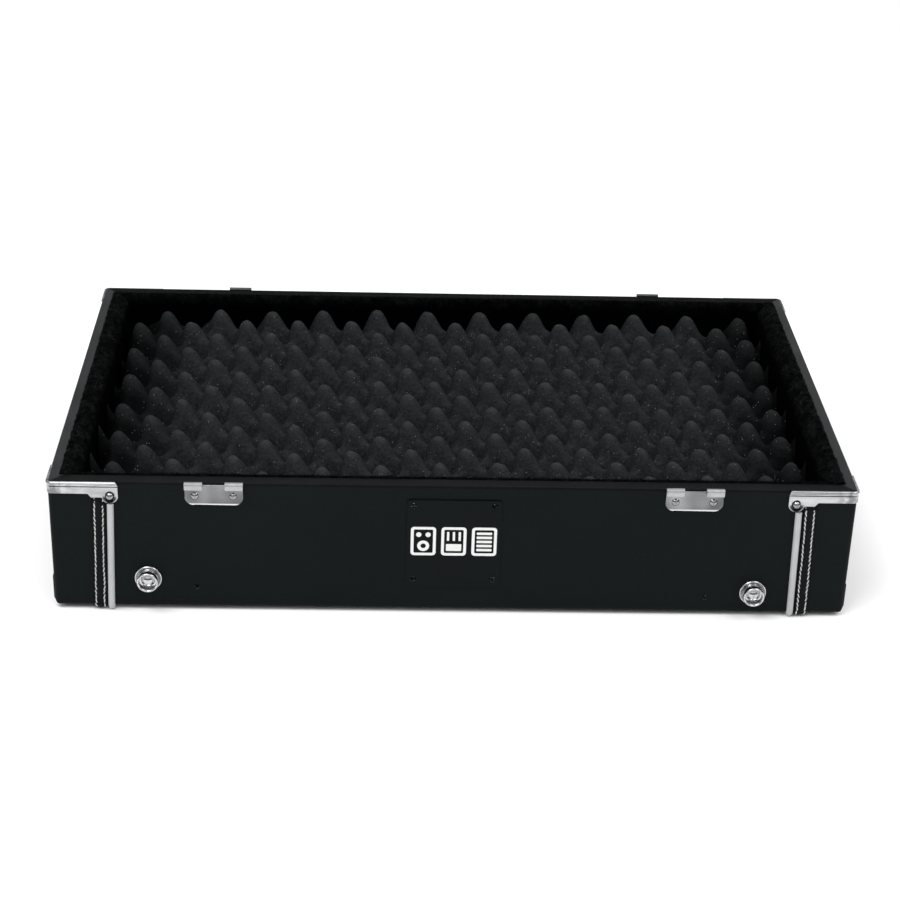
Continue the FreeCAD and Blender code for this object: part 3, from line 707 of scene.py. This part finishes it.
def make_pile(name, points, steps, count, inward_axis, look):
    """Fine tufts over the upper part of a wall's lining."""
    random_source = random.Random(len(name) * 13)
    blades, faces = [], []
    for k in range(steps):
        for j in range(PILE_ROWS):
            a = Vector(points[k * count + j])
            b = Vector(points[(k + 1) * count + j])
            c = Vector(points[k * count + j + 1])
            across, down = b - a, c - a
            amount = across.length * down.length * TUFTS
            number = int(amount) + (random_source.random() < amount % 1.0)
            normal = down.cross(across)
            if normal.length < 1e-6:
                continue
            normal.normalize()
            if normal.dot(inward_axis + Vector((0, 0, 0.8))) < 0:
                normal = -normal
            for _ in range(number):
                root = a + across * random_source.random() + down * random_source.random()
                lean = Vector([random_source.uniform(-0.75, 0.75) for _ in range(3)])
                way = (normal + lean + Vector((0, 0, 0.15))).normalized()
                reach = random_source.uniform(*TUFT_REACH)
                twist = Vector([random_source.random() - 0.5 for _ in range(3)])
                side = way.cross(twist).normalized() * TUFT_HALF
                root = root - way * TUFT_ROOT
                base = len(blades)
                bend = root + way * reach * 0.6 + Vector((0, 0, 0.1))
                tip = root + way * reach + Vector((0, 0, -0.25)) + lean * 0.4
                blades += [(root - side)[:], (root + side)[:], (bend + side * 0.7)[:],
                           (bend - side * 0.7)[:], tip[:]]
                faces += [(base, base + 1, base + 2, base + 3), (base + 3, base + 2, base + 4)]
    piece(name, blades, faces, look)


def make_linings():
    """The plush on the four walls; the end walls' stops short of the long ones."""
    x, y = WALL_IN_X, WALL_IN_Y
    walls = {
        "front": (Vector((-x, -y, 0)), Vector((x, -y, 0)), Vector((0, 1, 0))),
        "rear": (Vector((x, y, 0)), Vector((-x, y, 0)), Vector((0, -1, 0))),
        "left": (Vector((-x, y, 0)), Vector((-x, -y, 0)), Vector((1, 0, 0))),
        "right": (Vector((x, -y, 0)), Vector((x, y, 0)), Vector((-1, 0, 0))),
    }
    for side, (start, end, inward_axis) in walls.items():
        if side in ("left", "right"):
            run = (end - start).normalized()
            start, end = start + run * 3.0, end - run * 3.0
        made, points, steps, count = make_plush("plush_" + side, start, end, inward_axis)
        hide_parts("lining_" + side)
        look = END_PILE_LIT if side in ("left", "right") else PILE
        make_pile("pile_" + side, points, steps, count, inward_axis, look)


# ---- seams ----
EDGE_R = 3.0  # rounding of the tray's long bottom edges
PIPING_LOW_X = {"left": 295.6, "right": 297.5}
PIPING_TOP_X = {"left": 292.4, "right": 295.2}
BAND_INNER, BAND_OUTER = 3.2, 16.0  # from the piping's middle line
STITCHES = (6.0, 13.2)  # the two sewing lines, from the same middle line
STITCH = 4.5  # from one stitch to the next
THREAD_R = 0.62  # of a stitch at its middle
BAND_TOP = RIM - 15.0  # where the bands and pipings end, under the corner caps
DROP = BAND_TOP - BASE - EDGE_R
TURN = math.pi / 2.0 * EDGE_R
FLAT = 2.0 * (FACE - EDGE_R)
WRAP_LENGTH = 2.0 * (DROP + TURN) + FLAT


def wrap(distance, out):
    """Point (y, z) at a distance round the tray, standing out; the rear mirrors the front."""
    way = 1.0 if distance < WRAP_LENGTH / 2.0 else -1.0
    distance = min(distance, WRAP_LENGTH - distance)
    if distance < DROP:
        y, z, ny, nz = -FACE, BAND_TOP - distance, -1.0, 0.0
    elif distance < DROP + TURN:
        a = (distance - DROP) / EDGE_R
        ny, nz = -math.cos(a), -math.sin(a)
        y, z = -FACE + EDGE_R + EDGE_R * ny, BASE + EDGE_R + EDGE_R * nz
    else:
        y, z, ny, nz = -FACE + EDGE_R + distance - DROP - TURN, BASE, 0.0, -1.0
    return way * (y + ny * out), z + nz * out


def seam_x(name, distance):
    """Where the piping's middle line is at a distance along the wrap."""
    up = max(0.0, DROP - min(distance, WRAP_LENGTH - distance)) / DROP
    return PIPING_LOW_X[name] + (PIPING_TOP_X[name] - PIPING_LOW_X[name]) * up


def band_height(offset, distance, x):
    """How far the padded band stands out, at an offset from the piping's middle line."""
    across = (offset - BAND_INNER) / (BAND_OUTER - BAND_INNER)
    crown = math.sin(math.pi * min(1.0, max(0.0, across))) ** 0.55
    puff = 1.2 + 1.5 * crown * (1.0 - 0.35 * across)
    for line in STITCHES:
        near = math.exp(-((offset - line) / 0.95) ** 2)
        puff -= 0.95 * near * (0.75 + 0.25 * math.cos(2 * math.pi * distance / STITCH))
    puff += 0.12 * lumps((offset * 2.0, distance, 0.0), 7.0)
    edge = min(offset - BAND_INNER, BAND_OUTER - offset)
    puff = max(0.25, puff) * min(1.0, 0.15 + edge)
    end = min(distance, WRAP_LENGTH - distance)
    from_lobe = math.hypot(x - LOBE[0], BAND_TOP - end - LOBE[1]) - LOBE[2]
    if end < 12.0:
        puff *= min(1.0, max(0.08, from_lobe / 2.5)) * min(1.0, 0.3 + end / 3.0)
    return max(0.03, puff)


def make_seam_band(name, side):
    """Padded strip with puckered sewing lines, wrapped round the tray beside its piping."""
    steps, across_steps = int(WRAP_LENGTH / 1.1), 26
    points = []
    offsets = [BAND_INNER + (BAND_OUTER - BAND_INNER) * j / across_steps
               for j in range(across_steps + 1)]
    for k in range(steps + 1):
        distance = WRAP_LENGTH * k / steps
        middle = seam_x(name, distance)
        for offset in offsets:
            y, z = wrap(distance, band_height(offset, distance, middle + offset))
            points.append((side * (middle + offset), y, z))
        for offset in (offsets[-1], offsets[0]):
            y, z = wrap(distance, 0.02)
            points.append((side * (middle + offset), y, z))
    count = across_steps + 3
    faces = tube_faces(steps + 1, count, turned_in=True)
    if side > 0:
        faces = flipped(faces)
    band = piece("seam_padding_" + name, points, faces, SOFT_VINYL)
    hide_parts("seam_band_" + name)


def make_stitches(name, side):
    """Two lines of hand-length stitches, each stitch a short arched thread."""
    points, faces = [], []
    rng = random.Random(5 + int(side))
    around, rings = 7, 7
    for line in STITCHES:
        slant = 0.32 if line == STITCHES[0] else -0.40
        total = int(WRAP_LENGTH / STITCH)
        wander = 0.0
        for k in range(total):
            begin = 0.3 + k * STITCH + rng.uniform(-0.25, 0.25)
            span = STITCH * rng.uniform(0.84, 0.96)
            wander = 0.75 * wander + rng.uniform(-0.20, 0.20)
            tilt = slant * rng.uniform(0.6, 1.9)
            start = len(points)
            for r in range(rings + 1):
                part = r / rings
                arch = math.sin(math.pi * part) ** 0.5
                distance = begin + span * part
                offset = line + wander + tilt * (part - 0.5) * 2.0
                x = seam_x(name, distance) + offset
                level = band_height(offset, distance - STITCH / 2, x) + 0.10 + 0.38 * arch
                width = THREAD_R * (0.55 + 0.45 * arch)
                for a in range(around):
                    angle = 2.0 * math.pi * a / around
                    y, z = wrap(distance, level + 0.85 * width * math.sin(angle))
                    points.append((side * (x + width * math.cos(angle)), y, z))
            faces += tube_faces(rings + 1, around, start, turned_in=True)
    if side > 0:
        faces = flipped(faces)
    piece("stitches_" + name, points, faces, THREAD)


# ---- hardware ----
CAP_INNER_X = 285.7  # inboard end of a cap's long leg
CAP_SIDE = 30.0  # length of its short leg
CAP_BAND, CAP_STEP = 11.3, 14.9  # depth of its lower edge round the corner and in front
CAP_SLOPE = (308.3, 311.2)  # where one runs into the other
CAP_CORNER = 4.0  # rounding of its upright corner
CAP_TOP_R = 3.0  # rounding of the inboard top corner
CAP_DISH_R = 6.5  # the pressed dish round the screw
HINGE_X, HINGE_SCREW_X, HINGE_SCREW_Z = 204.6, 16.25, RIM - 11.5
FOOT_X, FOOT_Z = 263.0, {-1.0: BASE + 28.6, 1.0: BASE + 20.9}
CROSS_ARM, CROSS_DEEP = 1.2, 0.45  # a screw's recess
# seat out of the face, radius and height of the head, radius and length of the shank
SCREWS = {"hinge_screws": (1.5, 3.5, 2.2, 1.6, 10.0),
          "corner_cap_screws": (1.0, 3.4, 2.2, 1.5, 9.0),
          "foot_screws": (4.6, 6.2, 3.6, 2.2, 13.0)}
# outlines of the feet from the middle outwards: (radius, distance out of the face)
CUP = ((0.0, 4.7), (7.25, 4.7), (7.4, 4.85), (7.4, 8.7), (7.5, 9.25), (7.85, 9.75), (8.3, 9.95),
       (8.75, 9.8), (9.1, 9.4), (9.28, 8.8), (9.3, 8.0), (9.3, 0.03), (0.0, 0.03))
FLANGE = ((9.32, 0.03), (9.32, 0.35), (9.9, 0.75), (10.45, 1.55), (10.8, 1.9), (11.15, 1.97),
          (11.5, 1.8), (11.78, 1.35), (11.88, 0.7), (11.9, 0.03))


def cap_path():
    """Places along a cap from its inboard end round the corner: (x, y, outward x, outward y)."""
    half_x, half_y = CAP_HALF
    flat_x, flat_y = half_x - CAP_CORNER, half_y - CAP_CORNER
    count = int((flat_x - CAP_INNER_X) / 0.45)
    path = [(CAP_INNER_X + (flat_x - CAP_INNER_X) * k / count, -half_y, 0.0, -1.0)
            for k in range(count + 1)]
    for k in range(1, 10):
        a = math.pi / 2 * k / 10
        path.append((flat_x + CAP_CORNER * math.sin(a), -flat_y - CAP_CORNER * math.cos(a),
                     math.sin(a), -math.cos(a)))
    run = CAP_SIDE - CAP_CORNER
    path += [(half_x, -flat_y + run * k / 40, 1.0, 0.0) for k in range(41)]
    return path


def cap_low(x, on_front):
    """Depth of a cap's lower edge below the rim at a place along it."""
    lobe_x, lobe_z, lobe_r = LOBE
    if on_front and abs(x - lobe_x) < lobe_r:
        round_edge = RIM - lobe_z + math.sqrt(lobe_r ** 2 - (x - lobe_x) ** 2)
        if x < lobe_x or round_edge > CAP_STEP:
            return round_edge
    slope = (x - CAP_SLOPE[0]) / (CAP_SLOPE[1] - CAP_SLOPE[0])
    return CAP_STEP + (CAP_BAND - CAP_STEP) * min(1.0, max(0.0, slope if on_front else 1.0))


def cap_section(low):
    """Outward distance and depth below the rim, from the lip over the bead down to the edge."""
    section = [(-0.75, 0.85), (-0.75, 0.12), (-0.45, 0.0)]
    for k in range(11):
        a = math.radians(95.0 - 15.5 * k)
        section.append((0.15 + 1.42 * math.cos(a), 1.42 - 1.42 * math.sin(a)))
    section += [(0.72, 3.15), (0.58, 3.6), (0.66, 4.1), (0.92, 4.6)]
    section += [(1.0, 5.0 + (low - 5.7) * k / 13) for k in range(14)]
    section += [(0.93, low - 0.35), (0.70, low - 0.08), (0.40, low), (0.02, low)]
    return section


def make_cap(node, side, end):
    """Pressed corner cap with a rolled top bead, a crease under it and a dish for its screw."""
    path = cap_path()
    points, count = [], 0
    for x, y, nx, ny in path:
        on_front = ny < -0.99
        section = cap_section(cap_low(x, on_front))
        count = len(section)
        top = 0.0
        if on_front and x < CAP_INNER_X + CAP_TOP_R:
            top = CAP_TOP_R - math.sqrt(CAP_TOP_R ** 2 - (CAP_INNER_X + CAP_TOP_R - x) ** 2)
        for out, deep in section:
            deep = max(deep, top)
            away = math.hypot(x - LOBE[0], RIM - deep - LOBE[1])
            if on_front and out > 0.85 and away < CAP_DISH_R:
                out = 0.15 + 1.25 * min(1.0, max(0.0, (away - 3.0) / (CAP_DISH_R - 3.5)))
            out += 0.10 * lumps((x, y, deep), 11.0, 4.0 + side + 2 * end) * (out > 0.5)
            points.append((side * (x + nx * out), -end * (y + ny * out), RIM - deep))
    faces = tube_faces(len(path), count)
    if side * end > 0:
        faces = flipped(faces)
    cap = piece("cap_" + node[len("corner_cap_"):], points, faces, CAP)
    cap.data.set_sharp_from_angle(angle=math.radians(50.0))
    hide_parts(node)


def softened(node, width, least, edge_look=None):
    """Copy of a CAD node with its sharp edges, from a least length, rolled over by a width."""
    source = NODES[node]
    mesh = bmesh.new()
    mesh.from_mesh(source.data)
    bmesh.ops.remove_doubles(mesh, verts=mesh.verts, dist=0.01 * MM)
    bmesh.ops.dissolve_limit(mesh, angle_limit=math.radians(1.0), verts=mesh.verts,
                             edges=mesh.edges)
    sharp = [edge for edge in mesh.edges if edge.is_manifold
             and edge.calc_face_angle(0.0) > math.radians(30.0)
             and edge.calc_length() > max(least, 0.4 * width) * MM]
    bmesh.ops.bevel(mesh, geom=sharp, offset=width * MM, offset_type="OFFSET", segments=3,
                    profile=0.5, affect="EDGES", clamp_overlap=False,
                    material=1 if edge_look else -1)
    data = bpy.data.meshes.new(node + "_rolled")
    mesh.to_mesh(data)
    mesh.free()
    data.polygons.foreach_set("use_smooth", [True] * len(data.polygons))
    data.set_sharp_from_angle(angle=math.radians(40.0))
    part = [p for p in frame["record"]["subparts"] if p["node"] == node][0]
    data.materials.clear()
    data.materials.append(look_of(part).material)
    if edge_look:
        data.materials.append(edge_look.material)
    made = placed(node + "_rolled", data)
    made.modifiers.new("normals", "WEIGHTED_NORMAL").keep_sharp = True
    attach(made, body_of(source)[0])
    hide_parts(node)


def turned(node, outline):
    """Round piece turned about an axis that comes straight out of the front face."""
    low, high = box_mm(node)
    cx, cz, face = (low.x + high.x) / 2, (low.z + high.z) / 2, high.y
    around = 72
    points = [(cx + u, face - out, cz + w) for r, out in outline for u, w in circle(r, around)]
    faces = grid_faces(len(outline), around, closed=True)
    if outline[0][0] > 0.0:
        last = (len(outline) - 1) * around
        faces += [(k, last + k, last + (k + 1) % around, (k + 1) % around) for k in range(around)]
    made = piece(node + "_turned", points, faces, NICKEL)
    welded(made, 50.0)
    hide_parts(node)


def dome_out(u, w, head_r, head_h):
    """Height of a screw's domed head above its seat, with a rounded cross pressed into it."""
    ball_r = (head_r ** 2 + head_h ** 2) / (2.0 * head_h)
    far = math.hypot(u, w)
    height = math.sqrt(ball_r ** 2 - min(far, head_r) ** 2) - (ball_r - head_h)
    along, across = max(abs(u), abs(w)), min(abs(u), abs(w))
    inside = min(1.0, max(0.0, (CROSS_ARM - along) / (0.35 * CROSS_ARM)))
    return height - CROSS_DEEP * inside * math.exp(-(across / (0.24 * CROSS_ARM)) ** 4)


def make_domed_screws(node, places, look):
    """Every screw of a node: places are (x, z, 1 on the front face or -1 on the rear)."""
    seat, head_r, head_h, shank_r, length = SCREWS[node]
    rings, around = 26, 56
    screw = []
    for ring in range(rings + 1):
        screw += [(u, w, seat + dome_out(u, w, head_r, head_h))
                  for u, w in circle(head_r * ring / rings, around)]
    for r, out in ((shank_r, seat), (shank_r, seat - length), (0.0, seat - length)):
        screw += [(u, w, out) for u, w in circle(r, around)]
    points, faces = [], []
    for x, z, end in places:
        quads = grid_faces(rings + 4, around, len(points), closed=True)
        faces += quads if end < 0 else flipped(quads)
        points += [(x + u, -end * (FACE + out), z + w) for u, w, out in screw]
    made = piece(node + "_domed", points, faces, look)
    welded(made, 60.0)
    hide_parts(node)


def make_hardware():
    """Caps, hinge halves, feet and latches, left and right."""
    for side_name, side in (("left", -1.0), ("right", 1.0)):
        for end_name, end in (("front", 1.0), ("rear", -1.0)):
            make_cap("corner_cap_%s_%s" % (end_name, side_name), side, end)
        softened("hinge_half_" + side_name, 0.5, 0.8, EDGE)
        turned("foot_cup_" + side_name, CUP)
        turned("foot_flange_" + side_name, FLANGE)
        for part in ("plate", "lever", "claw"):
            softened("latch_%s_%s" % (part, side_name), 0.25, 0.8)


def make_screws():
    """The bright screws on the front and rear faces."""
    both = (-1.0, 1.0)
    hinge = [(side * HINGE_X + k * HINGE_SCREW_X, HINGE_SCREW_Z, 1.0)
             for side in both for k in both]
    make_domed_screws("hinge_screws", hinge, DULL_SHADED_STEEL)
    cap = [(side * LOBE[0], LOBE[1], end) for side in both for end in both]
    make_domed_screws("corner_cap_screws", cap, DULL_SHADED_STEEL)
    foot = [(side * FOOT_X, FOOT_Z[side], 1.0) for side in both]
    make_domed_screws("foot_screws", foot, STEEL)


# ---- print on the name plate ----
def outline_rounded(cx, cz, width, height, radius, count=7):
    """Rounded rectangle as a loop of (x, z) points."""
    loop = []
    for sx, sz, begin in ((1, 1, 0.0), (-1, 1, 0.5), (-1, -1, 1.0), (1, -1, 1.5)):
        for k in range(count + 1):
            a = math.pi * (begin + 0.5 * k / count)
            loop.append((cx + sx * (width / 2 - radius) + radius * math.cos(a),
                         cz + sz * (height / 2 - radius) + radius * math.sin(a)))
    return loop


PRINT_Z = BASE + 69.0  # middle of the pictograms
PRINT_W, PRINT_H, PRINT_GAP = 21.6, 28.0, 4.6


def make_print():
    """Three plain pedal pictograms, side by side, printed in white."""
    y_back, y_front = PLATE_LOW.y - 0.01, PLATE_LOW.y - 0.07
    cz = PRINT_Z
    points, faces = [], []

    def band(outer, inner):
        """Thin raised ring between two loops of the same length."""
        start, count = len(points), len(outer)
        for loop, y in ((outer, y_back), (outer, y_front), (inner, y_front), (inner, y_back)):
            points.extend((x, y, z) for x, z in loop)
        faces.extend(grid_faces(4, count, start, closed=True))

    def slab(loop):
        """Thin raised shape filling a loop."""
        start, count = len(points), len(loop)
        for y in (y_back, y_front):
            points.extend((x, y, z) for x, z in loop)
        faces.append(tuple(start + count + k for k in range(count)))
        faces.extend(grid_faces(2, count, start, closed=True))

    def bar(x0, x1, z0, z1):
        """Slab with softly rounded corners."""
        slab(outline_rounded((x0 + x1) / 2, (z0 + z1) / 2, x1 - x0, z1 - z0, 0.6, 3))

    for index, kind in enumerate(("knobs", "slider", "treadle")):
        cx = (index - 1) * (PRINT_W + PRINT_GAP)
        band(outline_rounded(cx, cz, PRINT_W, PRINT_H, 3.0),
             outline_rounded(cx, cz, PRINT_W - 5.0, PRINT_H - 5.0, 1.2))
        if kind == "knobs":
            for knob_x in (cx - 4.0, cx + 4.0):
                slab([(knob_x + u, cz + 6.4 + w) for u, w in circle(2.3, 24)])
            band(outline_rounded(cx, cz - 4.6, 10.4, 10.4, 5.19),
                 outline_rounded(cx, cz - 4.6, 4.6, 4.6, 2.29))
        elif kind == "slider":
            for k in (-1, 0, 1):
                bar(cx + k * 5.0 - 1.0, cx + k * 5.0 + 1.0, cz + 0.6, cz + 9.4)
            bar(cx - 6.6, cx + 6.6, cz - 9.4, cz - 2.6)
        else:
            for k in range(5):
                bar(cx - 6.6, cx + 6.6, cz - 9.4 + k * 4.05, cz - 7.0 + k * 4.05)
    piece("plate_print", points, faces, PRINT, smooth=False)


# ---- studio ----
FLOOR_NEAR, FLOOR_FAR, FLOOR_HALF = -18.0, 7.0, 18.0  # in metres, as all of the studio
FLOOR_CURVE = 3.0  # radius of its turn upwards
SKY = ((0.0, 0.12), (0.16, 0.08), (0.36, 0.34), (0.55, 0.95), (1.0, 1.18))  # (height, level)
AIM = (0.0, 0.0, 0.1)
LIGHTS = {"key": ((-0.9, -0.9, 2.2), (1.6, 1.2), 34.0),  # place, size and power
          "fill": ((1.3, -0.5, 2.0), (1.4, 1.0), 16.0)}
LENS = 83.46  # on a sensor 36 mm wide
CAMERA_AT = (-0.0662, -1.7609, 0.9715)
YAW, PITCH, ROLL = (math.radians(angle) for angle in (-2.231, 27.542, 1.814))


def make_stage():
    """Large plain floor that turns up far behind the tray."""
    mesh = bpy.data.meshes.new("floor")
    rows = [(FLOOR_NEAR, 0.0), (FLOOR_FAR, 0.0)]
    for k in range(1, 13):
        a = math.pi / 2 * k / 12
        rows.append((FLOOR_FAR + FLOOR_CURVE * math.sin(a),
                     FLOOR_CURVE - FLOOR_CURVE * math.cos(a)))
    points = [(sx * FLOOR_HALF, y, z) for y, z in rows for sx in (-1, 1)]
    faces = [(2 * k, 2 * k + 1, 2 * k + 3, 2 * k + 2) for k in range(len(rows) - 1)]
    mesh.from_pydata(points, [], faces)
    mesh.polygons.foreach_set("use_smooth", [True] * len(mesh.polygons))
    floor = placed("floor", mesh)
    look = Look("floor_white", Specular_IOR_Level=0.1)
    cloud = look.noise(900.0, 2.0)
    look.colour(look.mix(cloud, (0.90, 0.90, 0.90), (0.93, 0.93, 0.93)))
    look.rough(cloud, 0.85, 0.9)
    mesh.materials.append(look.material)


def make_lights():
    """Bright overhead sky, a darker band near the horizon and two broad lights."""
    world = bpy.data.worlds.new("studio")
    bpy.context.scene.world = world
    world.use_nodes = True
    tree = world.node_tree
    where, split, ramp = (tree.nodes.new("ShaderNode" + kind)
                          for kind in ("TexCoord", "SeparateXYZ", "ValToRGB"))
    tree.links.new(where.outputs["Generated"], split.inputs[0])
    tree.links.new(split.outputs["Z"], ramp.inputs[0])
    tree.links.new(ramp.outputs[0], tree.nodes["Background"].inputs[0])
    while len(ramp.color_ramp.elements) < len(SKY):
        ramp.color_ramp.elements.new(0.5)
    for element, (place, level) in zip(ramp.color_ramp.elements, SKY):
        element.position = place
        element.color = (level, level, level, 1.0)
    tree.nodes["Background"].inputs[1].default_value = 1.0
    for name, (at, size, power) in LIGHTS.items():
        data = bpy.data.lights.new(name, "AREA")
        data.shape = "RECTANGLE"
        data.size, data.size_y = size
        data.energy = power
        light = placed(name, data)
        light.location = at
        light.rotation_euler = (Vector(AIM) - Vector(at)).to_track_quat("-Z", "Y").to_euler()


def make_camera():
    """Long lens in front of the tray, a little left of it, looking down by 28 degrees."""
    data = bpy.data.cameras.new("camera")
    data.lens = LENS
    data.sensor_width = 36.0
    data.clip_end = 60.0
    level_right = Vector((math.cos(YAW), math.sin(YAW), 0.0))
    level_ahead = Vector((-math.sin(YAW), math.cos(YAW), 0.0))
    ahead = level_ahead * math.cos(PITCH) - Vector((0, 0, math.sin(PITCH)))
    above = level_ahead * math.sin(PITCH) + Vector((0, 0, math.cos(PITCH)))
    right = level_right * math.cos(ROLL) + above * math.sin(ROLL)
    up = -level_right * math.sin(ROLL) + above * math.cos(ROLL)
    camera = placed("camera", data)
    turn = Matrix((right, up, -ahead)).transposed().to_4x4()
    camera.matrix_world = Matrix.Translation(CAMERA_AT) @ turn
    bpy.context.scene.camera = camera
    bpy.context.scene.view_settings.view_transform = "Standard"


finish_nodes()
make_foam_pad()
make_foam_base()
make_linings()
for side_name, side_way in (("left", -1.0), ("right", 1.0)):
    make_seam_band(side_name, side_way)
    make_stitches(side_name, side_way)
make_hardware()
make_screws()
make_print()
make_stage()
make_lights()
make_camera()
